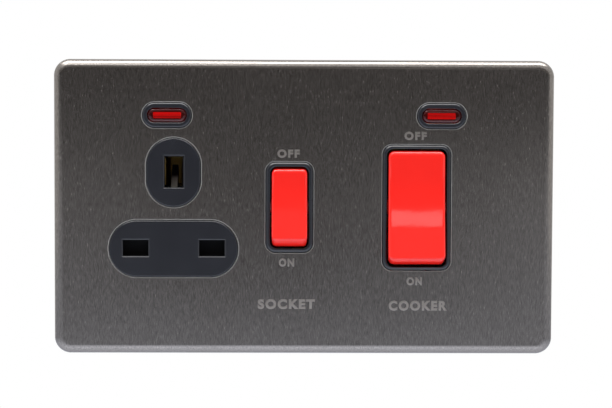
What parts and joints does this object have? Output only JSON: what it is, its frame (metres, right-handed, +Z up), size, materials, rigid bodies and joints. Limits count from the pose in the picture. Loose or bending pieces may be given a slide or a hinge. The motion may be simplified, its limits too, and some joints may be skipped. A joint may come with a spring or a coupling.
{
  "type": "cooker control unit",
  "caption": "Wall-mounted cooker control unit: flat brushed metal plate with a switched three-pin socket, a large cooker rocker and neon indicator lights.",
  "frame": {"origin": "midway between the two box screw holes, in the plane of the wall", "axes": "+X to the right, +Y into the wall, +Z up"},
  "size_m": [0.146, 0.0379, 0.086],
  "materials": {
    "plate": "dark plated, fine vertical brushing",
    "black_moulding": "satin black",
    "housing": "matt black",
    "rocker": "glossy red",
    "lens": "clear red",
    "lamp_glass": "clear",
    "resistor": "matt",
    "lead_wire": "tinned",
    "shutter": "satin grey",
    "plunger": "satin white",
    "spring": "bright",
    "brass": "pressed"
  },
  "bodies": {
    "unit": {"front_plate": "plate", "front_moulding": "black_moulding", "rear_housing": "housing", "shutter_spring": "spring", "live_outlet_contact": "brass", "neutral_outlet_contact": "brass", "earth_contact_bar": "brass", "live_supply_bar": "brass", "neutral_supply_bar": "brass", "neutral_load_bar": "brass", "live_load_bar": "brass", "supply_neutral_terminal": "brass", "supply_live_terminal": "brass", "load_neutral_terminal": "brass", "load_live_terminal": "brass", "earth_terminal": "brass", "plate_earth_spring": "brass", "socket_neon_lens": "lens", "socket_neon_lamp": "lamp_glass", "socket_neon_resistor": "resistor", "socket_neon_leads": "lead_wire", "cooker_neon_lens": "lens", "cooker_neon_lamp": "lamp_glass", "cooker_neon_resistor": "resistor", "cooker_neon_leads": "lead_wire"},
    "socket_rocker": {"socket_rocker": "rocker", "socket_live_plunger": "plunger", "socket_live_plunger_spring": "spring", "socket_neutral_plunger": "plunger", "socket_neutral_plunger_spring": "spring"},
    "socket_live_seesaw": {"socket_live_seesaw": "brass"},
    "socket_neutral_seesaw": {"socket_neutral_seesaw": "brass"},
    "cooker_rocker": {"cooker_rocker": "rocker", "cooker_live_plunger": "plunger", "cooker_live_plunger_spring": "spring", "cooker_neutral_plunger": "plunger", "cooker_neutral_plunger_spring": "spring"},
    "cooker_live_seesaw": {"cooker_live_seesaw": "brass"},
    "cooker_neutral_seesaw": {"cooker_neutral_seesaw": "brass"},
    "shutter": {"shutter": "shutter"}
  },
  "joints": [
    {"name": "socket_rocker_hinge", "type": "hinge", "parent": "unit", "child": "socket_rocker", "pos_m": [-0.0043, -0.001, 0], "axis": [1, 0, 0], "range_deg": [0, 15]},
    {"name": "socket_live_seesaw_hinge", "type": "hinge", "parent": "unit", "child": "socket_live_seesaw", "pos_m": [-0.0043, 0.012, 0], "axis": [1, 0, 0], "range_deg": [-16, 0]},
    {"name": "socket_neutral_seesaw_hinge", "type": "hinge", "parent": "unit", "child": "socket_neutral_seesaw", "pos_m": [-0.0043, 0.012, 0], "axis": [1, 0, 0], "range_deg": [-16, 0]},
    {"name": "cooker_rocker_hinge", "type": "hinge", "parent": "unit", "child": "cooker_rocker", "pos_m": [0.03285, -0.001, 0], "axis": [1, 0, 0], "range_deg": [0, 11]},
    {"name": "cooker_live_seesaw_hinge", "type": "hinge", "parent": "unit", "child": "cooker_live_seesaw", "pos_m": [0.03285, 0.012, 0], "axis": [1, 0, 0], "range_deg": [-14, 0]},
    {"name": "cooker_neutral_seesaw_hinge", "type": "hinge", "parent": "unit", "child": "cooker_neutral_seesaw", "pos_m": [0.03285, 0.012, 0], "axis": [1, 0, 0], "range_deg": [-14, 0]},
    {"name": "shutter_slide", "type": "slide", "parent": "unit", "child": "shutter", "axis": [0, 0, -1], "range_m": [0, 0.0063], "stiffness_N_per_m": 60, "springref_m": -0.004, "deforming": ["shutter_spring"]}
  ],
  "couplings": [
    {"joint": "socket_live_seesaw_hinge", "follows": "socket_rocker_hinge", "ratio": -1.0667},
    {"joint": "socket_neutral_seesaw_hinge", "follows": "socket_rocker_hinge", "ratio": -1.0667},
    {"joint": "cooker_live_seesaw_hinge", "follows": "cooker_rocker_hinge", "ratio": -1.2727},
    {"joint": "cooker_neutral_seesaw_hinge", "follows": "cooker_rocker_hinge", "ratio": -1.2727}
  ]
}
